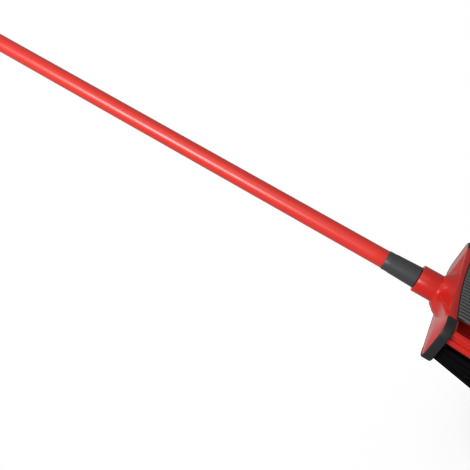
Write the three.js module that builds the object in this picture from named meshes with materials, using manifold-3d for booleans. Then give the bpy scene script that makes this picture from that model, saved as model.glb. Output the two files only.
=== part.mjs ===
// Dust pan and brush set: a long-handled brush whose head carries a small comb dustpan,
// clipped upright in front of its bristles.
// Millimetres. +X runs along the head, +Z up the handle, and the pan hangs on the -Y side.
// Z = 0 is the floor that the bristle tips stand on, and the handle's axis is X = Y = 0.
import * as THREE from "three";
import { mergeVertices } from "three/addons/utils/BufferGeometryUtils.js";
import Module from "manifold-3d";

const wasm = await Module();
wasm.setup();

// ---- Driving dimensions ----
const GAP = 0.3; // left between pieces that touch

const HEAD_WIDTH = 204;
const HEAD_DEPTH = 57;
const HEAD_CORNER = 15;
const RIM_BOTTOM = 118;
const RIM_TOP = 128.2;
const RIM_ARCH = 4; // rise of the front rim's lower edge at its middle
const WALL = 2.6; // thickness of the hood's shell
const BELL_TOP = 142;
const SOCKET_RADIUS = 18;
const SOCKET_TOP = 167.8;

const BUMPER_START = 79; // where the end bumpers begin along X
const BUMPER_PROUD = 0.8;
const BUMPER_THICK = 3.4;

const PLATE_DEPTH = 45;
const PLATE_WIDTH = 189;
const PLATE_TOP = 124.5;
const STOCK_BOTTOM = 112; // the thick part of the block that holds the bristles
const STOCK_BACK = 24;
const STOCK_HALF = 90.3;

const BRISTLE_ROWS = 4;
const BRISTLE_FRONT = 1.5;
const BRISTLE_BACK = 22.5;
const BRISTLE_HALF = 90;
const END_FLARE = 4; // how far the tips spread beyond the roots at each end
const BACK_FLARE = 20.55; // and at the back
const ROW_GAP = 0.9;

const TUBE_RADIUS = 12;
const TUBE_WALL = 0.6;
const TUBE_BOTTOM = 195;
const TUBE_TOP = 1012;
const FERRULE_TOP = 213;
const STUD_RADIUS = 11;
const STUD_BOTTOM = 143;
const INSERT_RADIUS = 14.5;
const GRIP_BOTTOM = 902;
const GRIP_RADIUS = 15;
const CAP_TOP = 1044;
const LOOP_PIN_Z = 1036;

const PAN_TOP = 116.5;
const PAN_HALF_TOP = 92.5;
const PAN_HALF_MOUTH = 101;
const PAN_FRONT = -24;
const PAN_BACK = -4;
const PAN_FLOOR = -8.5; // middle of the floor panel
const PAN_WALL = 2.2;
const LIP_HEIGHT = 11;
const TOOTH_PITCH = 6.2;
const TOOTH_WIDTH = 3.6;
const TEETH = 23;
const COMB_BACK = -24.6;
const TEETH_BOTTOM = 62;

const DOCK_X = 55;
const DOCK_Z = 114;
const DOCK_Y = -4.1;
const DOCK_RADIUS = 1.9;
const DOCK_HALF = 9; // half the clear span of a docking bar

const HINGE_Y = -37.5;
const HINGE_Z = 98;
const HINGE_RADIUS = 5;
const PAN_HANDLE_LENGTH = 88;
const LUG_X = 2.5 * TOOTH_PITCH; // each lug passes between two teeth of the comb
const LUG_THICK = 2;

// ---- Materials ----
const plastic = (color, roughness) => new THREE.MeshStandardMaterial({ color, roughness, metalness: 0 });
const RED = plastic(0xc8231c, 0.28);
const TUBE_RED = plastic(0xe23a2c, 0.22);
const DARK = plastic(0x3c3e42, 0.55);
const RUBBER = plastic(0x2f3134, 0.7);
const BLACK = plastic(0x141414, 0.85);
const STEEL = new THREE.MeshStandardMaterial({ color: 0xb9bcc0, roughness: 0.35, metalness: 1 });

// ---- Solids ----
function solid(geometry) {
  const bare = geometry.clone();
  bare.deleteAttribute("normal");
  bare.deleteAttribute("uv");
  const merged = mergeVertices(bare, 1e-4);
  return new wasm.Manifold(
    new wasm.Mesh({
      numProp: 3,
      vertProperties: merged.attributes.position.array,
      triVerts: new Uint32Array(merged.index.array),
    }),
  );
}

function geometryOf(manifold) {
  const mesh = manifold.getMesh();
  const geometry = new THREE.BufferGeometry();
  geometry.setAttribute("position", new THREE.BufferAttribute(mesh.vertProperties, 3));
  geometry.setIndex(new THREE.BufferAttribute(mesh.triVerts, 1));
  geometry.computeVertexNormals();
  return geometry;
}

const join = (first, ...rest) => rest.reduce((all, next) => all.add(next), first);
const cut = (first, ...rest) => rest.reduce((all, next) => all.subtract(next), first);

function box(x0, x1, y0, y1, z0, z1) {
  const geometry = new THREE.BoxGeometry(x1 - x0, y1 - y0, z1 - z0);
  geometry.translate((x0 + x1) / 2, (y0 + y1) / 2, (z0 + z1) / 2);
  return solid(geometry);
}

// A turned solid about the vertical line through (x, y): profile points are [radius, height].
function turned(profile, segments = 32, x = 0, y = 0) {
  const geometry = new THREE.LatheGeometry(
    profile.map(([radius, height]) => new THREE.Vector2(radius, height)),
    segments,
  );
  geometry.rotateX(Math.PI / 2);
  geometry.translate(x, y, 0);
  return solid(geometry);
}

const rod = (radius, z0, z1, segments = 24, x = 0, y = 0) =>
  turned([[0, z0], [radius, z0], [radius, z1], [0, z1]], segments, x, y);

// A round bar along X.
function crossBar(radius, x0, x1, y, z, segments = 20) {
  const geometry = new THREE.CylinderGeometry(radius, radius, x1 - x0, segments);
  geometry.rotateZ(Math.PI / 2);
  geometry.translate((x0 + x1) / 2, y, z);
  return solid(geometry);
}

function roundedRectangle(width, depth, corner, y = 0) {
  const shape = new THREE.Shape();
  const right = width / 2 - corner;
  const back = depth / 2 - corner;
  shape.absarc(right, y + back, corner, 0, Math.PI / 2);
  shape.absarc(-right, y + back, corner, Math.PI / 2, Math.PI);
  shape.absarc(-right, y - back, corner, Math.PI, Math.PI * 1.5);
  shape.absarc(right, y - back, corner, Math.PI * 1.5, Math.PI * 2);
  return shape;
}

function upright(shape, z0, z1, curveSegments = 6) {
  const geometry = new THREE.ExtrudeGeometry(shape, { depth: z1 - z0, bevelEnabled: false, curveSegments });
  geometry.translate(0, 0, z0);
  return solid(geometry);
}

const outline = (points) => new THREE.Shape(points.map(([u, v]) => new THREE.Vector2(u, v)));

// Extrudes an outline drawn in X and Z along Y, from y0 to y1.
function alongY(shape, y0, y1, curveSegments = 6) {
  const geometry = new THREE.ExtrudeGeometry(shape, { depth: y1 - y0, bevelEnabled: false, curveSegments });
  geometry.rotateX(Math.PI / 2);
  geometry.translate(0, y1, 0);
  return solid(geometry);
}

// Extrudes an outline drawn in Y and Z along X, from x0 to x1.
function alongX(shape, x0, x1, curveSegments = 6) {
  const geometry = new THREE.ExtrudeGeometry(shape, { depth: x1 - x0, bevelEnabled: false, curveSegments });
  geometry.rotateY(Math.PI / 2);
  geometry.rotateX(Math.PI / 2);
  geometry.translate(x0, 0, 0);
  return solid(geometry);
}

// Joins a stack of rings, each a list of [x, y] at a height, into one closed solid.
function stacked(rings) {
  const count = rings[0].points.length;
  const positions = [];
  const index = [];
  for (const ring of rings) {
    for (const [x, y] of ring.points) positions.push(x, y, ring.z);
  }
  for (let level = 0; level + 1 < rings.length; level++) {
    for (let i = 0; i < count; i++) {
      const a = level * count + i;
      const b = level * count + ((i + 1) % count);
      index.push(a, b, b + count, a, b + count, a + count);
    }
  }
  const top = (rings.length - 1) * count;
  for (let i = 1; i + 1 < count; i++) {
    index.push(0, i + 1, i);
    index.push(top, top + i, top + i + 1);
  }
  const geometry = new THREE.BufferGeometry();
  geometry.setAttribute("position", new THREE.Float32BufferAttribute(positions, 3));
  geometry.setIndex(index);
  return solid(geometry);
}

// Points round the rim: the bell's rings lie in their directions.
function rimPoints(perCorner = 6, perLength = 16, perDepth = 4) {
  const right = HEAD_WIDTH / 2 - HEAD_CORNER;
  const back = HEAD_DEPTH / 2 - HEAD_CORNER;
  const centres = [[right, -back], [right, back], [-right, back], [-right, -back]];
  const points = [];
  centres.forEach(([cx, cy], side) => {
    const first = (Math.PI / 2) * (side - 1);
    for (let i = 0; i <= perCorner; i++) {
      const angle = first + ((Math.PI / 2) * i) / perCorner;
      points.push([cx + HEAD_CORNER * Math.cos(angle), cy + HEAD_CORNER * Math.sin(angle)]);
    }
    const [nx, ny] = centres[(side + 1) % 4];
    const [x0, y0] = points[points.length - 1];
    const angle = first + Math.PI / 2;
    const [x1, y1] = [nx + HEAD_CORNER * Math.cos(angle), ny + HEAD_CORNER * Math.sin(angle)];
    const steps = side % 2 ? perLength : perDepth;
    for (let i = 1; i < steps; i++) points.push([x0 + ((x1 - x0) * i) / steps, y0 + ((y1 - y0) * i) / steps]);
  });
  return points;
}

// The bell's footprint on the rim is a fan: wide along the front, narrow at the back.
const FAN = [[79, -25.5], [44, 8], [18, 25.5], [-18, 25.5], [-44, 8], [-79, -25.5]];

// Distance from the axis to the fan's softened outline, in the direction (u, v) of unit length.
function fanReach(u, v) {
  const sum = FAN.reduce((total, [x0, y0], i) => {
    const [x1, y1] = FAN[(i + 1) % FAN.length];
    const along = ((y1 - y0) * u - (x1 - x0) * v) / ((y1 - y0) * x0 - (x1 - x0) * y0);
    return total + Math.max(along, 0) ** 14;
  }, 0);
  return sum ** (-1 / 14);
}

// The bell flares from the socket (t = 1) out to the fan (t = 0).
function bell(inset, z0, z1) {
  const steps = 10;
  const rings = [];
  for (let i = 0; i <= steps; i++) {
    const t = i / steps;
    const points = rimPoints().map(([x, y]) => {
      const [u, v] = [x / Math.hypot(x, y), y / Math.hypot(x, y)];
      const reach = SOCKET_RADIUS + (fanReach(u, v) - SOCKET_RADIUS) * (1 - t) ** 1.12 - inset;
      return [u * reach, v * reach];
    });
    rings.push({ z: z0 + (z1 - z0) * t, points });
  }
  return stacked(rings);
}

const archRise = (x) => RIM_ARCH * Math.max(0, 1 - (x / (BUMPER_START - 3)) ** 2);

// The notch under the front rim: its lower edge rises in a shallow arch.
function frontArch() {
  const reach = BUMPER_START - 3;
  const steps = 16;
  const points = [];
  for (let i = 0; i <= steps; i++) {
    const x = -reach + (2 * reach * i) / steps;
    points.push([x, RIM_BOTTOM + archRise(x)]);
  }
  points.push([reach, RIM_BOTTOM - 3], [-reach, RIM_BOTTOM - 3]);
  return alongY(outline(points), -HEAD_DEPTH / 2 - 1, -PLATE_DEPTH / 2 - GAP + 0.05);
}

// ---- Brush head ----
function bumperBand(grow) {
  const proud = 2 * (BUMPER_PROUD + grow);
  const inner = 2 * (BUMPER_THICK + grow - BUMPER_PROUD);
  const band = cut(
    upright(
      roundedRectangle(HEAD_WIDTH + proud, HEAD_DEPTH + proud, HEAD_CORNER + BUMPER_PROUD + grow),
      RIM_BOTTOM - 0.4 - grow,
      RIM_TOP + 0.1 + grow,
      8,
    ),
    upright(
      roundedRectangle(HEAD_WIDTH - inner, HEAD_DEPTH - inner, HEAD_CORNER - BUMPER_THICK),
      RIM_BOTTOM - 5,
      RIM_TOP + 5,
      8,
    ),
  );
  return cut(
    band,
    box(-(BUMPER_START - grow), BUMPER_START - grow, -HEAD_DEPTH, HEAD_DEPTH, RIM_BOTTOM - 5, RIM_TOP + 5),
  );
}

const SCREW_PLACES = [
  [-80, -13],
  [-30, -13],
  [30, -13],
  [80, -13],
];

function hood() {
  const rim = upright(roundedRectangle(HEAD_WIDTH, HEAD_DEPTH, HEAD_CORNER), RIM_BOTTOM, RIM_TOP, 8);
  const shell = join(rim, bell(0, RIM_TOP - 0.01, BELL_TOP), rod(SOCKET_RADIUS, BELL_TOP - 6, SOCKET_TOP, 48));
  const pocket = upright(
    roundedRectangle(PLATE_WIDTH + 2 * GAP, PLATE_DEPTH + 2 * GAP, 9 + GAP),
    RIM_BOTTOM - 1,
    PLATE_TOP + GAP,
  );
  const hollow = bell(WALL + 2, RIM_TOP - WALL - 1.5, BELL_TOP - WALL);
  const bore = rod(INSERT_RADIUS + GAP, BELL_TOP - 8, SOCKET_TOP + 1, 32);
  const holes = SCREW_PLACES.map(([x, y]) => rod(1.9, PLATE_TOP - 1, RIM_TOP - 0.6, 12, x, y));
  return cut(shell, pocket, hollow, bore, frontArch(), bumperBand(GAP), ...holes);
}

function endBumper(side) {
  const half = box(
    side > 0 ? 1 : -HEAD_WIDTH,
    side > 0 ? HEAD_WIDTH : -1,
    -HEAD_DEPTH,
    HEAD_DEPTH,
    RIM_BOTTOM - 5,
    RIM_TOP + 5,
  );
  return bumperBand(0).intersect(half);
}

// The block closes the hood from below, and its thick rear part holds the bristles.
function bristleBlock() {
  const plate = upright(roundedRectangle(PLATE_WIDTH, PLATE_DEPTH, 9), RIM_BOTTOM - 0.2, PLATE_TOP);
  const stock = box(-STOCK_HALF, STOCK_HALF, 0, STOCK_BACK, STOCK_BOTTOM, RIM_BOTTOM - 0.1);
  const holes = SCREW_PLACES.flatMap(([x, y]) => [
    rod(2, RIM_BOTTOM - 1, PLATE_TOP + 1, 12, x, y),
    rod(4.2, RIM_BOTTOM - 1, RIM_BOTTOM + 3, 16, x, y),
  ]);
  return cut(join(plate, stock), ...holes);
}

function blockScrew([x, y]) {
  const head = rod(3.6, RIM_BOTTOM + 0.6, RIM_BOTTOM + 2.7, 16, x, y);
  return join(head, rod(1.6, RIM_BOTTOM + 2.6, RIM_TOP - 1, 12, x, y));
}

// One row of tufts as a slab that spreads from its root to the floor.
function bristleRow(row) {
  const depth = BRISTLE_BACK - BRISTLE_FRONT;
  const ring = (z, spread) => {
    const halfX = BRISTLE_HALF + spread * END_FLARE;
    const rowDepth = (depth + spread * BACK_FLARE) / BRISTLE_ROWS;
    const front = BRISTLE_FRONT + row * rowDepth + ROW_GAP / 2;
    const back = BRISTLE_FRONT + (row + 1) * rowDepth - ROW_GAP / 2;
    return { z, points: [[-halfX, front], [halfX, front], [halfX, back], [-halfX, back]] };
  };
  return stacked([ring(0, 1), ring(STOCK_BOTTOM - GAP, 0)]);
}

function socketInsert() {
  return turned(
    [
      [STUD_RADIUS + GAP, STUD_BOTTOM - 3],
      [INSERT_RADIUS, STUD_BOTTOM - 3],
      [INSERT_RADIUS, SOCKET_TOP - 0.5],
      [STUD_RADIUS + GAP, SOCKET_TOP - 0.5],
      [STUD_RADIUS + GAP, STUD_BOTTOM - 3],
    ],
    32,
  );
}

// A C-shaped spring clip on the front of the stock, open towards the pan.
function dockClip(side) {
  const arm = DOCK_RADIUS + 0.25;
  const profile = outline([
    [-GAP, DOCK_Z - 4.5],
    [-GAP, DOCK_Z + 3.5],
    [-6, DOCK_Z + 3.5],
    [-6.6, DOCK_Z + arm + 0.3],
    [-6, DOCK_Z + arm],
    [-1.7, DOCK_Z + arm],
    [-1.7, DOCK_Z - arm],
    [-6, DOCK_Z - arm],
    [-6.6, DOCK_Z - arm - 0.3],
    [-6, DOCK_Z - 3.5],
    [-1.6, DOCK_Z - 3.5],
    [-1.6, DOCK_Z - 4.5],
  ]);
  const centre = side * DOCK_X;
  return alongX(profile, centre - DOCK_HALF + 1.5, centre + DOCK_HALF - 1.5);
}

// ---- Handle ----
function ferrule() {
  return turned(
    [
      [0, STUD_BOTTOM],
      [STUD_RADIUS - 1, STUD_BOTTOM],
      [STUD_RADIUS, STUD_BOTTOM + 1],
      [STUD_RADIUS, SOCKET_TOP + GAP],
      [14, SOCKET_TOP + GAP],
      [14.1, SOCKET_TOP + 3],
      [12.9, FERRULE_TOP - 9],
      [12.9, FERRULE_TOP - 1.5],
      [12.5, FERRULE_TOP],
      [TUBE_RADIUS + 0.2, FERRULE_TOP],
      [TUBE_RADIUS + 0.2, TUBE_BOTTOM - GAP],
      [0, TUBE_BOTTOM - GAP],
    ],
    32,
  );
}

function handleTube() {
  return turned(
    [
      [TUBE_RADIUS - TUBE_WALL, TUBE_BOTTOM],
      [TUBE_RADIUS, TUBE_BOTTOM],
      [TUBE_RADIUS, TUBE_TOP],
      [TUBE_RADIUS - TUBE_WALL, TUBE_TOP],
      [TUBE_RADIUS - TUBE_WALL, TUBE_BOTTOM],
    ],
    32,
  );
}

// A soft sleeve with shallow ring grooves.
function grip() {
  const inside = TUBE_RADIUS + 0.2;
  const profile = [[inside, GRIP_BOTTOM], [13.4, GRIP_BOTTOM], [GRIP_RADIUS, GRIP_BOTTOM + 6]];
  const grooves = 6;
  const first = GRIP_BOTTOM + 22;
  const spacing = 12;
  for (let i = 0; i < grooves; i++) {
    const z = first + i * spacing;
    profile.push([GRIP_RADIUS, z], [GRIP_RADIUS - 0.9, z + 1.2], [GRIP_RADIUS - 0.9, z + 2.6], [GRIP_RADIUS, z + 3.8]);
  }
  profile.push([GRIP_RADIUS, TUBE_TOP - 1], [inside, TUBE_TOP - 1], [inside, GRIP_BOTTOM]);
  return turned(profile, 28);
}

// The cap plugs the tube, and its slot holds the hanging loop.
function gripCap() {
  const body = turned(
    [
      [0, TUBE_TOP - 22],
      [TUBE_RADIUS - TUBE_WALL - GAP, TUBE_TOP - 22],
      [TUBE_RADIUS - TUBE_WALL - GAP, TUBE_TOP + GAP],
      [GRIP_RADIUS, TUBE_TOP + GAP],
      [GRIP_RADIUS, CAP_TOP - 16],
      [13.5, CAP_TOP - 9],
      [10.5, CAP_TOP - 3],
      [7, CAP_TOP],
      [0, CAP_TOP],
    ],
    32,
  );
  const slot = box(-2.8, 2.8, -20, 20, LOOP_PIN_Z - 10, CAP_TOP + 2);
  return cut(body, slot, crossBar(1.8, -20, 20, 0, LOOP_PIN_Z, 16));
}

function loopPin() {
  return crossBar(1.5, -9.5, 9.5, 0, LOOP_PIN_Z, 16);
}

function hangLoop() {
  const shape = new THREE.Shape();
  const width = 11;
  const height = 34;
  shape.absarc(0, height, width, 0, Math.PI);
  shape.absarc(0, 0, 5.5, Math.PI, Math.PI * 2);
  const hole = new THREE.Path();
  hole.absarc(0, height, width - 4, 0, Math.PI);
  hole.absarc(0, 12, 3, Math.PI, Math.PI * 2);
  const eye = new THREE.Path();
  eye.absarc(0, 0, 1.9, 0, Math.PI * 2);
  shape.holes.push(hole, eye);
  return alongX(shape, -2, 2, 10).translate([0, 0, LOOP_PIN_Z]);
}

// ---- Dustpan ----
const panHalf = (z) => PAN_HALF_MOUTH + ((PAN_HALF_TOP - PAN_HALF_MOUTH) * z) / PAN_TOP;

// A band that follows the slanted side of the pan, between two distances out from that side.
function sideBand(side, inner, outer, y0, y1, z0, z1) {
  return alongY(
    outline([
      [side * (panHalf(z0) + inner), z0],
      [side * (panHalf(z0) + outer), z0],
      [side * (panHalf(z1) + outer), z1],
      [side * (panHalf(z1) + inner), z1],
    ]),
    y0,
    y1,
  );
}

function hingeLug(x) {
  const half = LUG_THICK / 2;
  const arm = alongX(
    outline([
      [PAN_FLOOR, HINGE_Z - 14],
      [PAN_FLOOR, HINGE_Z + 8],
      [-18, HINGE_Z + HINGE_RADIUS],
      [HINGE_Y, HINGE_Z + HINGE_RADIUS],
      [HINGE_Y, HINGE_Z - HINGE_RADIUS],
      [-23, HINGE_Z - HINGE_RADIUS],
    ]),
    x - half,
    x + half,
  );
  return join(arm, crossBar(HINGE_RADIUS, x - half, x + half, HINGE_Y, HINGE_Z, 24));
}

function dockBracket(side) {
  const centre = side * DOCK_X;
  const ears = [-1, 1].map((end) => {
    const x = centre + end * (DOCK_HALF + 1);
    return box(x - 1, x + 1, PAN_FLOOR, DOCK_Y + 2.9, DOCK_Z - 3, PAN_TOP - 0.1);
  });
  const seats = crossBar(DOCK_RADIUS + 0.2, centre - DOCK_HALF - 3, centre + DOCK_HALF + 3, DOCK_Y, DOCK_Z, 16);
  return cut(join(...ears), seats);
}

function panBody() {
  const floorHalf = PAN_WALL / 2;
  const floor = alongY(
    outline([
      [-panHalf(5), 5],
      [panHalf(5), 5],
      [panHalf(PAN_TOP), PAN_TOP],
      [-panHalf(PAN_TOP), PAN_TOP],
    ]),
    PAN_FLOOR - floorHalf,
    PAN_FLOOR + floorHalf,
  );
  const rear = box(-panHalf(PAN_TOP), panHalf(PAN_TOP), COMB_BACK + GAP, PAN_FLOOR + floorHalf, PAN_TOP - PAN_WALL, PAN_TOP);
  const sides = [-1, 1].flatMap((side) => [
    sideBand(side, -PAN_WALL, 0, PAN_FRONT, PAN_BACK, 0, PAN_TOP),
    sideBand(side, -0.5, 1.6, -23.8, -17.4, 2, PAN_TOP - 2),
    sideBand(side, -0.5, 1.6, -13.4, -6, 2, PAN_TOP - 2),
  ]);
  const mouthSlope = alongX(outline([[-40, -1], [-19, -1], [-30.3, 48], [-40, 48]]), -130, 130);
  const lipSeats = box(-panHalf(0) + PAN_WALL - 0.1, panHalf(0) - PAN_WALL + 0.1, -13, -4, -1, 5);
  const body = cut(join(floor, rear, ...sides), mouthSlope);
  return join(
    cut(body, lipSeats),
    hingeLug(-LUG_X),
    hingeLug(LUG_X),
    dockBracket(-1),
    dockBracket(1),
  ).subtract(crossBar(1.8, -30, 30, HINGE_Y, HINGE_Z, 16));
}

function panLip() {
  const half = panHalf(LIP_HEIGHT) - PAN_WALL - 1.2;
  const floorFront = PAN_FLOOR - PAN_WALL / 2 - GAP;
  const floorBack = PAN_FLOOR + PAN_WALL / 2 + GAP;
  const profile = outline([
    [PAN_FLOOR - 0.4, 0],
    [PAN_FLOOR + 0.4, 0],
    [floorBack + 1, 4],
    [floorBack + 1, LIP_HEIGHT],
    [floorBack, LIP_HEIGHT],
    [floorBack, 5 - GAP],
    [floorFront, 5 - GAP],
    [floorFront, LIP_HEIGHT],
    [floorFront - 1, LIP_HEIGHT],
    [floorFront - 1, 4],
  ]);
  return alongX(profile, -half, half);
}

// A row of long teeth under the front rim; the comb's top follows the rim's arch.
function panComb() {
  const end = ((TEETH - 1) * TOOTH_PITCH + TOOTH_WIDTH) / 2;
  const top = (x) => RIM_BOTTOM + archRise(x) - 0.7;
  const spineBottom = PAN_TOP - 7;
  const points = [];
  const ridges = [];
  for (let i = 0; i < TEETH; i++) {
    const left = -end + i * TOOTH_PITCH;
    const right = left + TOOTH_WIDTH;
    if (i > 0) points.push([left, spineBottom]);
    points.push([left, TEETH_BOTTOM + 2], [left + 1.1, TEETH_BOTTOM]);
    points.push([right - 1.1, TEETH_BOTTOM], [right, TEETH_BOTTOM + 2]);
    if (i < TEETH - 1) points.push([right, spineBottom]);
    const height = Math.min(top(left), top(right)) - 0.3;
    ridges.push(box(left + 0.6, right - 0.6, COMB_BACK - 4.4, COMB_BACK - 2, TEETH_BOTTOM + 3, height));
  }
  const topSteps = 16;
  for (let i = 0; i <= topSteps; i++) {
    const x = end - (2 * end * i) / topSteps;
    points.push([x, top(x)]);
  }
  return join(alongY(outline(points), COMB_BACK - 2.2, COMB_BACK), ...ridges);
}

function dockBar(side) {
  const centre = side * DOCK_X;
  return crossBar(DOCK_RADIUS, centre - DOCK_HALF - 2, centre + DOCK_HALF + 2, DOCK_Y, DOCK_Z, 16);
}

// The pan's grip lies folded over the pan's mouth, below its hinge.
const HANDLE_FRONT = HINGE_Y - 4.5;
const HANDLE_BACK = HINGE_Y + 4.5;

function handleOutline(inset) {
  const shape = new THREE.Shape();
  const bottom = HINGE_Z - PAN_HANDLE_LENGTH + 13;
  shape.absarc(0, bottom, 13 - inset, Math.PI, Math.PI * 2);
  shape.lineTo(LUG_X - LUG_THICK / 2 - GAP - inset, HINGE_Z - 12 - inset);
  if (inset === 0) shape.lineTo(LUG_X - LUG_THICK / 2 - GAP, HINGE_Z);
  if (inset === 0) shape.lineTo(-(LUG_X - LUG_THICK / 2 - GAP), HINGE_Z);
  shape.lineTo(-(LUG_X - LUG_THICK / 2 - GAP) + inset, HINGE_Z - 12 - inset);
  return shape;
}

function panHandle() {
  const knuckleHalf = LUG_X - LUG_THICK / 2 - GAP;
  const hangHole = new THREE.Path();
  hangHole.absarc(0, HINGE_Z - PAN_HANDLE_LENGTH + 11, 4, 0, Math.PI * 2);
  const shape = handleOutline(0);
  shape.holes.push(hangHole);
  const bar = alongY(shape, HANDLE_FRONT + 1.4, HANDLE_BACK, 8);
  const knuckle = crossBar(HINGE_RADIUS - 0.3, -knuckleHalf, knuckleHalf, HINGE_Y, HINGE_Z, 24);
  const trimmed = cut(bar, box(-20, 20, HANDLE_FRONT - 1, HANDLE_BACK + 1, HINGE_Z, HINGE_Z + 20));
  return cut(join(trimmed, knuckle), crossBar(1.8, -30, 30, HINGE_Y, HINGE_Z, 16));
}

function panHandlePad() {
  const hangHole = new THREE.Path();
  hangHole.absarc(0, HINGE_Z - PAN_HANDLE_LENGTH + 11, 5.5, 0, Math.PI * 2);
  const shape = handleOutline(2.2);
  shape.holes.push(hangHole);
  return alongY(shape, HANDLE_FRONT - 0.6, HANDLE_FRONT + 1.4 - GAP, 8);
}

function hingePin() {
  return crossBar(1.5, -LUG_X - LUG_THICK / 2 - 0.5, LUG_X + LUG_THICK / 2 + 0.5, HINGE_Y, HINGE_Z, 16);
}

// ---- Assembly ----
function piece(name, manifold, material) {
  const mesh = new THREE.Mesh(geometryOf(manifold), material);
  mesh.name = name;
  return mesh;
}

const brushHead = new THREE.Group();
brushHead.add(piece("hood", hood(), RED));
brushHead.add(piece("bristle_block", bristleBlock(), BLACK));
for (let row = 0; row < BRISTLE_ROWS; row++) {
  brushHead.add(piece("bristle_row_" + (row + 1), bristleRow(row), BLACK));
}
brushHead.add(piece("end_bumper_left", endBumper(-1), RUBBER));
brushHead.add(piece("end_bumper_right", endBumper(1), RUBBER));
SCREW_PLACES.forEach((place, i) => {
  brushHead.add(piece("block_screw_" + (i + 1), blockScrew(place), STEEL));
});
brushHead.add(piece("socket_insert", socketInsert(), BLACK));
brushHead.add(piece("dock_clip_left", dockClip(-1), DARK));
brushHead.add(piece("dock_clip_right", dockClip(1), DARK));

const handle = new THREE.Group();
handle.add(piece("handle_ferrule", ferrule(), DARK));
handle.add(piece("handle_tube", handleTube(), TUBE_RED));
handle.add(piece("handle_grip", grip(), RUBBER));
handle.add(piece("grip_cap", gripCap(), DARK));
handle.add(piece("loop_pin", loopPin(), STEEL));
handle.add(piece("hang_loop", hangLoop(), DARK));

const dustpan = new THREE.Group();
dustpan.add(piece("pan_body", panBody(), RED));
dustpan.add(piece("pan_lip", panLip(), RUBBER));
dustpan.add(piece("pan_comb", panComb(), DARK));
dustpan.add(piece("dock_bar_left", dockBar(-1), STEEL));
dustpan.add(piece("dock_bar_right", dockBar(1), STEEL));
dustpan.add(piece("pan_handle", panHandle(), RED));
dustpan.add(piece("pan_handle_pad", panHandlePad(), RUBBER));
dustpan.add(piece("hinge_pin", hingePin(), STEEL));

const group = new THREE.Group();
group.add(brushHead, handle, dustpan);

export default group;
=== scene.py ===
import math
import random

import bmesh
import bpy
from mathutils import Matrix, Vector


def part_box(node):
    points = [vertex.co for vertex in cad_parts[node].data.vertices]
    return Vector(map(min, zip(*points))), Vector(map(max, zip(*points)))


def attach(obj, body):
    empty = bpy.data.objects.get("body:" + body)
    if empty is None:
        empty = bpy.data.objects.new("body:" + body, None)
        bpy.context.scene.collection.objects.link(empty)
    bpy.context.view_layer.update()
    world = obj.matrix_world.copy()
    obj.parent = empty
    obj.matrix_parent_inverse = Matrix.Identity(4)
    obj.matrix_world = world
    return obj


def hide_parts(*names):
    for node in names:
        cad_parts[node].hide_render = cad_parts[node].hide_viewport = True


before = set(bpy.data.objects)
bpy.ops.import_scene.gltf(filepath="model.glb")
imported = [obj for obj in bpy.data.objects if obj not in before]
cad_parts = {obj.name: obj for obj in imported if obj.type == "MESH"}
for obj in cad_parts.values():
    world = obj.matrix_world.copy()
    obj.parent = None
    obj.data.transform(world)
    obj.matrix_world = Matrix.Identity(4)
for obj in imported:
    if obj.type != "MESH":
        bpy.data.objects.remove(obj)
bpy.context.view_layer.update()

MM = 0.001
scene = bpy.context.scene

# ---- Sizes in millimetres, read from the frame where a node's box gives them ----


def node_box(node):
    """The lowest and highest corner of a CAD node, in millimetres."""
    low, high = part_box(node)
    return [v / MM for v in low], [v / MM for v in high]


hood_low, hood_high = node_box("hood")
RIM_BOTTOM = hood_low[2]
SOCKET_TOP = hood_high[2]
HEAD_DEPTH = hood_high[1] - hood_low[1]
bumper_low, bumper_high = node_box("end_bumper_left")
BUMPER_PROUD = bumper_high[1] - hood_high[1]
HEAD_WIDTH = -2 * (bumper_low[0] + BUMPER_PROUD)
BUMPER_START = -bumper_high[0]
BUMPER_RISE = (bumper_high[2] - bumper_low[2]) / 2
HEAD_CORNER = 15
RIM_TOP = RIM_BOTTOM + 10.2
RIM_ARCH = 4
RIM_ROUNDING = 0.9
RIM_INSIDE = 5.4  # from the rim's outer face to the hood's hollow
BELL_TOP = RIM_BOTTOM + 24
BELL_WALL = 2.8
BELL_BULGE = 0.62  # power of the bell's curve toward the back
BELL_HOLLOW = 1.1  # added to that power toward the two front corners
FAN = [(79, -25.5), (44, 8), (18, 25.5), (-18, 25.5), (-44, 8), (-79, -25.5)]
SOCKET_RADIUS = 18
SOCKET_BORE = 14.8

BRISTLE_ROWS = 4
TUFTS_PER_ROW = 38
STRANDS_PER_TUFT = 30
STRAND_RADIUS = 0.34
ROOT_SINK = 0.8  # how far below the rim's lower edge the bristles start
ROOT_HALF = 95
ROOT_BACK = 23.5
TIP_SPREAD = 8  # how far the end tufts splay past the last CAD row's end
TUFT_ROOT_RADIUS = 2.0
TUFT_TIP_RADIUS = 2.9

_, pan_high = node_box("pan_body")
PAN_TOP = pan_high[2]
PAN_HALF_TOP = 92.5
PAN_HALF_MOUTH = 101
PAN_FRONT = -24
PAN_BACK = -4
PAN_WALL = 2.2
PAN_FLOOR = -8.5
PAN_JOIN = 0.6  # how deep the panel and the rear wall sit in the side walls
MOUTH_TOP = 48
MOUTH_TOP_FRONT = -30.3
MOUTH_LEAN = 11.3 / 49
RIBS = [(-20.9, 2.6), (-9.6, 3.4)]  # middle along Y and half width
RIB_HEIGHT = 2.9
HINGE_Y = -37.5
HINGE_Z = 98
HINGE_RADIUS = 5
LUG_X = 15.5
DOCK_X = 55
DOCK_Y = -4.1
DOCK_Z = 114
DOCK_EAR_SPAN = 10  # from the middle of a docking bar to the ear at its end

comb_low, comb_high = node_box("pan_comb")
TEETH = 23
TOOTH_PITCH = 6.2
TOOTH_WIDTH = 3.6
TOOTH_DEPTH = 4.3
SPINE_DEPTH = 2.2
SPINE_BOTTOM = PAN_TOP - 7

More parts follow.
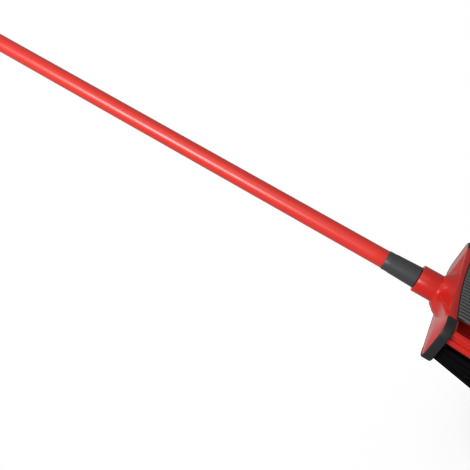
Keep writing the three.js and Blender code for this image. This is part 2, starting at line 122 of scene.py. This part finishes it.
tube_low, tube_high = node_box("handle_tube")
ferrule_low, ferrule_high = node_box("handle_ferrule")
TUBE_RADIUS = tube_high[0]
TUBE_FIT = 0.2  # clearance between the tube and what is round it
STUD_RADIUS = 11
grip_low, grip_high = node_box("handle_grip")


# ---- Camera: a little above the head, rolled so that the handle crosses the picture ----


def aim(obj, target, roll=0.0):
    """Points an object's -Z at a target, then rolls it about that line."""
    forward = (Vector(target) - obj.location).normalized()
    turn = forward.to_track_quat("-Z", "Y").to_matrix().to_4x4()
    obj.rotation_euler = (turn @ Matrix.Rotation(roll, 4, "Z")).to_euler()


def make_camera():
    """A slightly long lens without blur, near the head's left end."""
    data = bpy.data.cameras.new("camera")
    data.lens = 41.63
    data.sensor_width = 36
    data.clip_start = 0.01
    camera = bpy.data.objects.new("camera", data)
    scene.collection.objects.link(camera)
    camera.location = (-0.59805, -0.39342, 0.24242)
    aim(camera, (0, 0.09024, 0.40935), math.radians(-59.42))
    scene.camera = camera


# ---- Studio ----


def area_light(name, place, target, size, power):
    """A white rectangular lamp at a place, turned to a target, in metres and watts."""
    data = bpy.data.lights.new(name, "AREA")
    data.shape = "RECTANGLE"
    data.size, data.size_y = size
    data.energy = power
    light = bpy.data.objects.new(name, data)
    scene.collection.objects.link(light)
    light.location = place
    aim(light, target)


def make_world():
    """A white surround that lights more softly than it is seen, brighter low down behind the brush."""
    world = bpy.data.worlds.new("surround")
    scene.world = world
    world.use_nodes = True
    nodes, links = world.node_tree.nodes, world.node_tree.links
    place = nodes.new("ShaderNodeTexCoord")
    toward = nodes.new("ShaderNodeVectorMath")
    toward.operation = "DOT_PRODUCT"
    toward.inputs[1].default_value = (0.82, 0.55, 0.15)
    links.new(place.outputs["Generated"], toward.inputs[0])
    glow = nodes.new("ShaderNodeMapRange")
    glow.interpolation_type = "SMOOTHSTEP"
    glow.inputs["From Min"].default_value = 0.96
    glow.inputs["From Max"].default_value = 0.99
    glow.inputs["To Min"].default_value = 0.3
    glow.inputs["To Max"].default_value = 0.68
    links.new(toward.outputs["Value"], glow.inputs["Value"])
    path = nodes.new("ShaderNodeLightPath")
    strength = nodes.new("ShaderNodeMapRange")
    strength.inputs["To Max"].default_value = 1
    links.new(path.outputs["Is Camera Ray"], strength.inputs["Value"])
    links.new(glow.outputs["Result"], strength.inputs["To Min"])
    background = nodes["Background"]
    background.inputs["Color"].default_value = (1, 1, 1, 1)
    links.new(strength.outputs["Result"], background.inputs["Strength"])


def make_floor():
    """A white floor that shows only the shadow that falls on it."""
    radius, steps = 0.9, 96
    below_tips = 0.0006
    turns = [2 * math.pi * i / steps for i in range(steps)]
    rim = [(radius * math.cos(turn), radius * math.sin(turn), 0) for turn in turns]
    mesh = bpy.data.meshes.new("floor")
    mesh.from_pydata(rim, [], [list(range(steps))])
    floor = bpy.data.objects.new("floor", mesh)
    scene.collection.objects.link(floor)
    floor.location.z = -below_tips
    material = bpy.data.materials.new("floor_white")
    material.use_nodes = True
    shader = material.node_tree.nodes["Principled BSDF"]
    shader.inputs["Base Color"].default_value = (0.3, 0.3, 0.3, 1)
    shader.inputs["Roughness"].default_value = 0.9
    mesh.materials.append(material)
    floor.is_shadow_catcher = True


def make_studio():
    """The surround, three lamps and the floor, with colours shown as they are."""
    make_world()
    area_light("key", (-1.9, -0.62, 1.35), (0, 0, 0.45), (0.6, 1.1), 40)
    area_light("front_fill", (-0.9, -1.8, 1.0), (0, 0, 0.2), (1.2, 1.2), 4)
    area_light("top", (-0.2, 0.1, 2.6), (0, 0, 0.3), (1.0, 1.0), 8)
    make_floor()
    scene.view_settings.view_transform = "Standard"


# ---- Materials ----


def plastic(
    name, color, roughness, grain=900, bump=0.02, coat=0.0, blur=0.12, spread=0.12, specular=0.5
):
    """Moulded plastic: a base colour that drifts by spread, an uneven gloss, and a fine bump.

    The coat is a clear layer over it, and blur is that layer's roughness.
    """
    material = bpy.data.materials.new(name)
    material.use_nodes = True
    nodes, links = material.node_tree.nodes, material.node_tree.links
    shader = nodes["Principled BSDF"]
    shader.inputs["Specular IOR Level"].default_value = specular
    shader.inputs["Coat Weight"].default_value = coat
    shader.inputs["Coat Roughness"].default_value = blur
    place = nodes.new("ShaderNodeTexCoord")

    def noise(scale, detail):
        texture = nodes.new("ShaderNodeTexNoise")
        texture.inputs["Scale"].default_value = scale
        texture.inputs["Detail"].default_value = detail
        links.new(place.outputs["Object"], texture.inputs["Vector"])
        return texture

    drift = nodes.new("ShaderNodeMix")
    drift.data_type = "RGBA"
    low = [c * (1 - spread) for c in color]
    high = [min(1, c * (1 + spread)) for c in color]
    drift.inputs["A"].default_value = (*low, 1)
    drift.inputs["B"].default_value = (*high, 1)
    links.new(noise(18, 3).outputs["Fac"], drift.inputs["Factor"])
    links.new(drift.outputs["Result"], shader.inputs["Base Color"])
    gloss = nodes.new("ShaderNodeMapRange")
    gloss.inputs["To Min"].default_value = roughness * 0.75
    gloss.inputs["To Max"].default_value = roughness * 1.25
    links.new(noise(60, 6).outputs["Fac"], gloss.inputs["Value"])
    links.new(gloss.outputs["Result"], shader.inputs["Roughness"])
    relief = nodes.new("ShaderNodeBump")
    relief.inputs["Strength"].default_value = bump
    relief.inputs["Distance"].default_value = 0.0004
    links.new(noise(grain, 2).outputs["Fac"], relief.inputs["Height"])
    links.new(relief.outputs["Normal"], shader.inputs["Normal"])
    return material


def metal(name, color, roughness):
    """Bare metal with a very fine grain."""
    material = plastic(name, color, roughness, grain=2500, bump=0.03, spread=0.05)
    material.node_tree.nodes["Principled BSDF"].inputs["Metallic"].default_value = 1
    return material


RED = plastic("red_moulding", (0.6, 0.014, 0.008), 0.27, bump=0.006, coat=0.08)
PAINT = plastic(
    "tube_enamel", (0.8, 0.03, 0.018), 0.4, grain=700, bump=0.004, coat=0.45, blur=0.24, spread=0.05
)
DARK = plastic("dark_moulding", (0.048, 0.05, 0.055), 0.42, grain=2600, bump=0.04)
COMB = plastic("comb_moulding", (0.095, 0.1, 0.102), 0.38, grain=2600, bump=0.03)
RUBBER = plastic("soft_rubber", (0.011, 0.012, 0.0135), 0.5, grain=3000, bump=0.06)
BLACK = plastic("black_moulding", (0.006, 0.006, 0.007), 0.5, grain=2000, bump=0.05, specular=0.3)
BRISTLE = plastic(
    "black_bristle", (0.004, 0.004, 0.0045), 0.6, grain=400, bump=0.0, spread=0.5, specular=0.12
)
STEEL = metal("bright_steel", (0.6, 0.6, 0.62), 0.28)

# ---- Mesh building ----


def soften(obj, width):
    """Rounds an object's sharp edges by a width in millimetres."""
    bevel = obj.modifiers.new("edges", "BEVEL")
    bevel.width = width * MM
    bevel.segments = 3
    bevel.limit_method = "ANGLE"
    bevel.angle_limit = math.radians(35)
    bevel.harden_normals = True


def piece(name, shape, body, material, stands_for, sharp=40, edge=0.0):
    """Makes a piece from (points in millimetres, faces), smooth below the given edge angle."""
    points, faces = shape
    mesh = bpy.data.meshes.new(name)
    mesh.from_pydata([(x * MM, y * MM, z * MM) for x, y, z in points], [], faces)
    work = bmesh.new()
    work.from_mesh(mesh)
    bmesh.ops.remove_doubles(work, verts=work.verts, dist=1e-6)
    bmesh.ops.recalc_face_normals(work, faces=work.faces)
    work.to_mesh(mesh)
    work.free()
    mesh.shade_smooth()
    mesh.set_sharp_from_angle(angle=math.radians(sharp))
    mesh.materials.append(material)
    obj = bpy.data.objects.new(name, mesh)
    scene.collection.objects.link(obj)
    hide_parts(*stands_for)
    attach(obj, body)
    if edge:
        soften(obj, edge)


def merge(*shapes):
    """Joins several (points, faces) shapes into one."""
    points, faces = [], []
    for more_points, more_faces in shapes:
        start = len(points)
        points += more_points
        faces += [[i + start for i in face] for face in more_faces]
    return points, faces


def lathe(profile, segments=72):
    """Turns a profile of (radius, height) about the Z axis; ends on the axis are closed to a point."""
    points, faces, rings = [], [], []
    for radius, height in profile:
        start = len(points)
        if radius < 1e-6:
            points.append((0, 0, height))
            rings.append([start] * segments)
            continue
        for i in range(segments):
            angle = 2 * math.pi * i / segments
            points.append((radius * math.cos(angle), radius * math.sin(angle), height))
        rings.append([start + i for i in range(segments)])
    for below, above in zip(rings, rings[1:]):
        for i in range(segments):
            j = (i + 1) % segments
            face = [below[i], below[j], above[j], above[i]]
            face = [v for k, v in enumerate(face) if v not in face[:k]]
            if len(face) > 2:
                faces.append(face)
    return points, faces


def loft(rings, loop=False):
    """Skins a list of rings with equal point counts; a loop joins the last ring to the first."""
    count = len(rings[0])
    points = [point for ring in rings for point in ring]
    faces = []
    last = len(rings) if loop else len(rings) - 1
    for level in range(last):
        a = level * count
        b = ((level + 1) % len(rings)) * count
        for i in range(count):
            j = (i + 1) % count
            faces.append([a + i, a + j, b + j, b + i])
    if not loop:
        faces.append(list(range(count)))
        faces.append([(len(rings) - 1) * count + i for i in range(count)])
    return points, faces


def rounded_rectangle(width, depth, corner, per_corner=14, long_steps=72, short_steps=10):
    """Points round a rounded rectangle, counter-clockwise from the front left, evenly spread."""
    right, back = width / 2 - corner, depth / 2 - corner
    centres = [(right, -back), (right, back), (-right, back), (-right, -back)]
    steps = [short_steps, long_steps, short_steps, long_steps]
    points = []
    for side, (cx, cy) in enumerate(centres):
        first = math.pi * (side - 1) / 2
        for i in range(per_corner + 1):
            angle = first + math.pi / 2 * i / per_corner
            points.append((cx + corner * math.cos(angle), cy + corner * math.sin(angle)))
        nx, ny = centres[(side + 1) % 4]
        angle = first + math.pi / 2
        start = points[-1]
        end = (nx + corner * math.cos(angle), ny + corner * math.sin(angle))
        for i in range(1, steps[side]):
            t = i / steps[side]
            points.append((start[0] + (end[0] - start[0]) * t, start[1] + (end[1] - start[1]) * t))
    return points


# ---- Hood ----


def rim_ring(inset, z):
    """The head's outline at a height, drawn in by an inset."""
    corner = max(HEAD_CORNER - inset, 2)
    flat = rounded_rectangle(HEAD_WIDTH - 2 * inset, HEAD_DEPTH - 2 * inset, corner)
    return [(x, y, z) for x, y in flat]


def ease(t):
    """Goes smoothly from 0 to 1 as t does, and stays there beyond."""
    t = min(max(t, 0), 1)
    return t * t * (3 - 2 * t)


def fan_reach(u, v):
    """Distance from the axis to the fan's softened outline, in the direction (u, v) of unit length."""
    sharpness = 14
    total = 0
    for (x0, y0), (x1, y1) in zip(FAN, FAN[1:] + FAN[:1]):
        along = ((y1 - y0) * u - (x1 - x0) * v) / ((y1 - y0) * x0 - (x1 - x0) * y0)
        total += max(along, 0) ** sharpness
    return total ** (-1 / sharpness)


def axis_ring(reach, z):
    """A ring round the axis: reach gives its radius in each direction of the rim's points."""
    ring = []
    for x, y, _ in rim_ring(0, 0):
        u, v = x / math.hypot(x, y), y / math.hypot(x, y)
        radius = reach(u, v)
        ring.append((u * radius, v * radius, z))
    return ring


def bell_ring(t, inset, z0, z1):
    """A ring of the bell, which flares from the socket at t = 1 out to the fan at t = 0.

    It bulges toward the back and is hollowed toward the two front corners.
    """

    def reach(u, v):
        toward_corner = ease((0.45 - v) / 0.7) * ease((abs(u) - 0.4) / 0.4)
        curve = BELL_BULGE + BELL_HOLLOW * toward_corner
        return SOCKET_RADIUS + (fan_reach(u, v) - SOCKET_RADIUS) * (1 - t) ** curve - inset

    return axis_ring(reach, z0 + (z1 - z0) * t)


def round_ring(radius, z):
    """A round ring about the axis."""
    return axis_ring(lambda u, v: radius, z)


def arch_rise(x):
    """How far the front rim's lower edge is raised at a place along the head."""
    return RIM_ARCH * max(0, 1 - (x / (BUMPER_START - 3)) ** 2)


def arched(ring):
    """Raises the front part of a ring under the rim by the rim's arch."""
    front_part = -HEAD_DEPTH / 2 + 8
    return [(x, y, z + arch_rise(x) if y < front_part else z) for x, y, z in ring]


def make_hood():
    """Rim, bell and socket as one shell, skinned from outside to inside."""
    edge = RIM_ROUNDING
    rings = [
        arched(rim_ring(edge, RIM_BOTTOM)),
        arched(rim_ring(edge * 0.3, RIM_BOTTOM + edge * 0.3)),
        arched(rim_ring(0, RIM_BOTTOM + edge)),
    ]
    rings += [rim_ring(0, RIM_TOP - edge), rim_ring(edge * 0.3, RIM_TOP - edge * 0.3)]
    rings.append(rim_ring(edge, RIM_TOP))
    steps = 40
    for i in range(steps + 1):
        rings.append(bell_ring(i / steps, 0, RIM_TOP, BELL_TOP))
    rings += [round_ring(SOCKET_RADIUS, BELL_TOP + 1), round_ring(SOCKET_RADIUS, SOCKET_TOP - 1)]
    rings += [round_ring(SOCKET_RADIUS - 0.3, SOCKET_TOP - 0.3), round_ring(SOCKET_RADIUS - 1, SOCKET_TOP)]
    rings += [round_ring(SOCKET_BORE + 0.4, SOCKET_TOP), round_ring(SOCKET_BORE, SOCKET_TOP - 0.4)]
    rings.append(round_ring(SOCKET_BORE, BELL_TOP - 2))
    for i in range(steps, -1, -4):
        rings.append(bell_ring(i / steps, BELL_WALL + 0.4, RIM_TOP - BELL_WALL, BELL_TOP - BELL_WALL))
    rings.append(arched(rim_ring(RIM_INSIDE, RIM_BOTTOM + 1)))
    rings.append(arched(rim_ring(RIM_INSIDE, RIM_BOTTOM)))
    piece("hood_shell", loft(rings, loop=True), "head", RED, ["hood"], sharp=50)


# ---- End bumpers ----


def sweep(path, section):
    """Carries a section of (out, up) points along a flat path of (x, y) points, closed at both ends."""
    rings = []
    for i, (x, y) in enumerate(path):
        before, after = path[max(i - 1, 0)], path[min(i + 1, len(path) - 1)]
        dx, dy = after[0] - before[0], after[1] - before[1]
        length = math.hypot(dx, dy)
        out = (dy / length, -dx / length)
        rings.append([(x + out[0] * u, y + out[1] * u, v) for u, v in section])
    return loft(rings)


def rounded_section(out0, out1, up0, up1, corner, steps=5):
    """A rectangle with round corners, as points counter-clockwise from its lower outer corner."""
    section = []
    corners = [(out1 - corner, up0 + corner), (out1 - corner, up1 - corner)]
    corners += [(out0 + corner, up1 - corner), (out0 + corner, up0 + corner)]
    for side, (cx, cy) in enumerate(corners):
        for i in range(steps + 1):
            angle = math.pi / 2 * (side - 1 + i / steps)
            section.append((cx + corner * math.cos(angle), cy + corner * math.sin(angle)))
    return section


def make_bumper(side):
    """The soft end cap: a band with round edges that wraps one end of the rim."""
    right, back = HEAD_WIDTH / 2 - HEAD_CORNER, HEAD_DEPTH / 2 - HEAD_CORNER
    path = [(BUMPER_START + 0.3 + t * (right - BUMPER_START), -HEAD_DEPTH / 2) for t in (0, 0.5)]
    for cy, first in ((-back, -math.pi / 2), (back, 0)):
        for i in range(15):
            angle = first + math.pi / 2 * i / 14
            path.append((right + HEAD_CORNER * math.cos(angle), cy + HEAD_CORNER * math.sin(angle)))
    path += [(x, -y) for x, y in reversed(path[:2])]
    middle = (bumper_low[2] + bumper_high[2]) / 2
    section = rounded_section(-2.6, BUMPER_PROUD, middle - BUMPER_RISE, middle + BUMPER_RISE, 1.1)
    points, faces = sweep(path, section)
    name = "left" if side < 0 else "right"
    shape = ([(side * x, y, z) for x, y, z in points], faces)
    piece("bumper_" + name, shape, "head", RUBBER, ["end_bumper_" + name], sharp=50)


# ---- Bristles ----


def strand(points, faces, root, tip, bend, width):
    """Adds one bristle with three sides, bowed by bend on its way from root to tip."""
    start = len(points)
    steps = 4
    for i in range(steps + 1):
        t = i / steps
        bow = 4 * t * (1 - t)
        x, y, z = (root[k] + (tip[k] - root[k]) * t + bend[k] * bow for k in range(3))
        radius = width * (1 - 0.35 * t)
        for corner in range(3):
            angle = 2 * math.pi * corner / 3
            points.append((x + radius * math.cos(angle), y + radius * math.sin(angle), z))
    for i in range(steps):
        for corner in range(3):
            a = start + 3 * i + corner
            b = start + 3 * i + (corner + 1) % 3
            faces.append([a, b, b + 3, a + 3])
    faces.append([start, start + 2, start + 1])
    end = start + 3 * steps
    faces.append([end, end + 1, end + 2])


def make_bristles():
    """Rows of tufts whose strands fan out from the head to the floor, a little uneven in length."""
    root_z = RIM_BOTTOM - ROOT_SINK
    front_low, _ = node_box("bristle_row_1")
    _, back_high = node_box("bristle_row_4")
    tip_half = back_high[0] + TIP_SPREAD
    front, tip_back = front_low[1], back_high[1]
    for row in range(BRISTLE_ROWS):
        rng = random.Random(31 + row)
        points, faces = [], []
        for tuft in range(TUFTS_PER_ROW):
            along = (tuft + 0.5) / TUFTS_PER_ROW * 2 - 1
            for _ in range(STRANDS_PER_TUFT):
                turn = rng.uniform(0, 2 * math.pi)
                reach = math.sqrt(rng.random())
                du, dv = reach * math.cos(turn), reach * math.sin(turn)
                across = (row + 0.5) / BRISTLE_ROWS
                root = (
                    (ROOT_HALF - 2) * along + TUFT_ROOT_RADIUS * du,
                    front + (ROOT_BACK - front) * across + TUFT_ROOT_RADIUS * dv,
                    root_z,
                )
                tip_across = min(max(across + 0.125 * dv * 1.1, 0.01), 0.99)
                tip = (
                    (tip_half - 3) * along + TUFT_TIP_RADIUS * du,
                    front + (tip_back - front) * tip_across,
                    rng.uniform(0.2, 2.2),
                )
                bend = (rng.uniform(-0.7, 0.7), rng.uniform(-0.5, 0.5), 0)
                strand(points, faces, root, tip, bend, STRAND_RADIUS)
        name = "bristle_row_%d" % (row + 1)
        piece("tufts_%d" % (row + 1), (points, faces), "head", BRISTLE, [name], sharp=80)


# ---- Handle ----


def make_tube():
    """The enamelled steel tube, open at both ends."""
    low, high = tube_low[2], tube_high[2]
    radius, wall = TUBE_RADIUS, 0.6
    profile = [(radius - wall, low), (radius - 0.2, low), (radius, low + 0.2)]
    steps = 24
    profile += [(radius, low + 0.2 + (high - low - 0.4) * i / steps) for i in range(1, steps + 1)]
    profile += [(radius - 0.2, high), (radius - wall, high), (radius - wall, low)]
    piece("tube", lathe(profile, 96), "handle", PAINT, ["handle_tube"], sharp=60)


def make_ferrule():
    """The stud below, then a sleeve that tapers up to a thinner collar round the tube."""
    low, high = ferrule_low[2], ferrule_high[2]
    tube_seat = TUBE_RADIUS + TUBE_FIT
    base = SOCKET_TOP + 0.3
    profile = [(0, low), (STUD_RADIUS - 1, low), (STUD_RADIUS, low + 1), (STUD_RADIUS, base)]
    profile += [(13.6, base), (14.1, base + 0.5), (14.1, base + 2.5)]
    profile += [(13.5, high - 24), (13.1, high - 10), (12.75, high - 9.6), (12.7, high - 1)]
    profile.append((12.4, high - 0.3))
    profile += [(tube_seat, high), (tube_seat, tube_low[2] - 0.3), (0, tube_low[2] - 0.3)]
    piece("ferrule", lathe(profile, 96), "handle", DARK, ["handle_ferrule"], sharp=35)


def make_grip():
    """A soft sleeve with six shallow waves that the fingers rest in."""
    low, high = grip_low[2], grip_high[2]
    radius = grip_high[0]
    inside = TUBE_RADIUS + TUBE_FIT
    profile = [(inside, low), (13, low), (13.4, low + 0.3), (radius, low + 6)]
    first, spacing, groove, depth = low + 22, 12, 3.8, 0.9
    for i in range(6):
        start = first + i * spacing
        for k in range(9):
            dip = depth * math.sin(math.pi * k / 8) ** 0.7
            profile.append((radius - dip, start + groove * k / 8))
    profile += [(radius, high - 0.5), (radius - 0.5, high), (inside, high), (inside, low)]
    piece("grip_sleeve", lathe(profile, 96), "handle", RUBBER, ["handle_grip"], sharp=45)


# ---- Dustpan ----


def pan_half(z):
    """Half the pan's width at a height: it widens down to the mouth."""
    return PAN_HALF_MOUTH + (PAN_HALF_TOP - PAN_HALF_MOUTH) * z / PAN_TOP


def pan_front(z):
    """The mouth's side edges lean back towards the lip."""
    return max(PAN_FRONT, MOUTH_TOP_FRONT + MOUTH_LEAN * (MOUTH_TOP - z))


def pan_side_ring(side, z):
    """Section of a side wall at a height: a flat inner face and two rounded ribs outside."""
    half = pan_half(z)
    fade = ease((z - 2) / 4)
    section = []
    steps = 60
    for i in range(steps + 1):
        y = PAN_FRONT + 0.5 + (PAN_BACK - PAN_FRONT - 1) * i / steps
        rib = 0
        for middle, reach in RIBS:
            s = abs(y - middle) / reach
            if s < 1:
                rib = RIB_HEIGHT * (1 - s**3) ** 0.5
        section.append((half + rib * fade, y))
    inner = half - PAN_WALL
    section += [(half - 0.5, PAN_BACK), (inner + 0.5, PAN_BACK), (inner, PAN_BACK - 0.5)]
    section += [(inner, PAN_FRONT + 0.5), (inner + 0.5, PAN_FRONT), (half - 0.5, PAN_FRONT)]
    front = pan_front(z)
    squeeze = (PAN_BACK - front) / (PAN_BACK - PAN_FRONT)
    return [(side * x, PAN_BACK + (y - PAN_BACK) * squeeze, z) for x, y in section]


def prism(outline, place, low, high):
    """Extrudes an outline of (a, b) points from low to high along c.

    The function place turns (a, b, c) into (x, y, z).
    """
    points = [place(a, b, c) for c in (low, high) for a, b in outline]
    count = len(outline)
    faces = [[i, (i + 1) % count, count + (i + 1) % count, count + i] for i in range(count)]
    faces += [list(range(count)), list(range(count, 2 * count))]
    return points, faces


def along_x(a, b, c):
    """Places a (y, z) outline that is extruded along X."""
    return (c, a, b)


def along_y(a, b, c):
    """Places an (x, z) outline that is extruded along Y."""
    return (a, c, b)


def hinge_lug(x):
    """An arm from the pan's floor forward to the hinge, rounded about its pin."""
    top, bottom = HINGE_Z + HINGE_RADIUS, HINGE_Z - HINGE_RADIUS
    outline = [(PAN_FLOOR, HINGE_Z - 14), (PAN_FLOOR, HINGE_Z + 8), (-18, top), (HINGE_Y, top)]
    for i in range(1, 12):
        turn = math.pi / 2 + math.pi * i / 12
        outline.append((HINGE_Y + HINGE_RADIUS * math.cos(turn), HINGE_Z + HINGE_RADIUS * math.sin(turn)))
    outline += [(HINGE_Y, bottom), (-24, bottom)]
    return prism(outline, along_x, x - 1, x + 1)


def make_pan():
    """Two ribbed side walls with a panel and a rear wall between them, ears for the bars and hinge lugs."""
    walls = []
    levels = [0, 0.5, 2, 3, 4, 5, 6] + list(range(12, 109, 6))
    levels += [110, 112, 113, 114, 115, PAN_TOP - 0.4, PAN_TOP]
    for side in (-1, 1):
        walls.append(loft([pan_side_ring(side, z) for z in levels]))
    inner = PAN_WALL - PAN_JOIN
    low_z, high_z = 5, PAN_TOP
    floor = [(-pan_half(low_z) + inner, low_z), (pan_half(low_z) - inner, low_z)]
    floor += [(pan_half(high_z) - inner, high_z), (-pan_half(high_z) + inner, high_z)]
    panel = prism(floor, along_y, PAN_FLOOR - PAN_WALL / 2, PAN_FLOOR + PAN_WALL / 2)
    width = pan_half(PAN_TOP) - inner
    rear_edge = PAN_FRONT - 0.3
    rear = [(rear_edge, PAN_TOP - PAN_WALL), (PAN_FLOOR, PAN_TOP - PAN_WALL)]
    rear += [(PAN_FLOOR, PAN_TOP), (rear_edge, PAN_TOP)]
    wall = prism(rear, along_x, -width, width)
    ears = []
    for side in (-1, 1):
        for end in (-DOCK_EAR_SPAN, DOCK_EAR_SPAN):
            x = side * DOCK_X + end
            ear = [(PAN_FLOOR, DOCK_Z - 3), (DOCK_Y + 2.9, DOCK_Z - 3)]
            ear += [(DOCK_Y + 2.9, PAN_TOP - 0.1), (PAN_FLOOR, PAN_TOP - 0.1)]
            ears.append(prism(ear, along_x, x - 1, x + 1))
    lugs = [hinge_lug(-LUG_X), hinge_lug(LUG_X)]
    shape = merge(*walls, panel, wall, *ears, *lugs)
    piece("pan_tray", shape, "pan", RED, ["pan_body"], sharp=40, edge=0.35)


def make_comb():
    """A spine under the rim's arch with long teeth that taper down to rounded tips."""
    end = ((TEETH - 1) * TOOTH_PITCH + TOOTH_WIDTH) / 2
    back = comb_high[1]
    spine = [(-end, SPINE_BOTTOM), (end, SPINE_BOTTOM)]
    steps = 24
    for i in range(steps + 1):
        x = end - 2 * end * i / steps
        spine.append((x, RIM_BOTTOM + arch_rise(x) - 0.7))
    shapes = [prism(spine, along_y, back - SPINE_DEPTH, back)]
    tip = comb_low[2]
    widths = [(tip, 0.3), (tip + 0.5, 0.52), (tip + 1.6, 0.62), (tip + 25, 0.84), (tip + 46, 1)]
    for i in range(TEETH):
        x = -end + TOOTH_WIDTH / 2 + i * TOOTH_PITCH
        top = RIM_BOTTOM + arch_rise(abs(x) + TOOTH_WIDTH / 2) - 1
        rings = []
        for z, size in widths + [(top, 1)]:
            half = TOOTH_WIDTH / 2 * size
            depth = TOOTH_DEPTH * (0.6 + 0.4 * size)
            section = rounded_section(-half, half, back - depth, back, half * 0.7, steps=4)
            rings.append([(x + a, y, z) for a, y in section])
        shapes.append(loft(rings))
    piece("comb", merge(*shapes), "pan", COMB, ["pan_comb"], sharp=40)


# ---- CAD pieces that stay ----

# Each node's material and the width that its edges are rounded by.
KEPT = {
    "bristle_block": (BLACK, 0.5),
    "block_screw_1": (STEEL, 0.3),
    "block_screw_2": (STEEL, 0.3),
    "block_screw_3": (STEEL, 0.3),
    "block_screw_4": (STEEL, 0.3),
    "socket_insert": (BLACK, 0.3),
    "dock_clip_left": (DARK, 0.2),
    "dock_clip_right": (DARK, 0.2),
    "grip_cap": (DARK, 0.5),
    "loop_pin": (STEEL, 0.2),
    "hang_loop": (DARK, 0.9),
    "pan_lip": (RUBBER, 0.2),
    "dock_bar_left": (STEEL, 0.3),
    "dock_bar_right": (STEEL, 0.3),
    "pan_handle": (RED, 1.2),
    "pan_handle_pad": (RUBBER, 0.6),
    "hinge_pin": (STEEL, 0.3),
}


def finish_cad_pieces():
    """Gives the CAD pieces that stay visible their materials and soft edges."""
    for node, (material, edge) in KEPT.items():
        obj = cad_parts[node]
        obj.data.materials.clear()
        obj.data.materials.append(material)
        soften(obj, edge)


make_camera()
make_studio()
make_hood()
make_bumper(-1)
make_bumper(1)
make_bristles()
make_tube()
make_ferrule()
make_grip()
make_pan()
make_comb()
finish_cad_pieces()
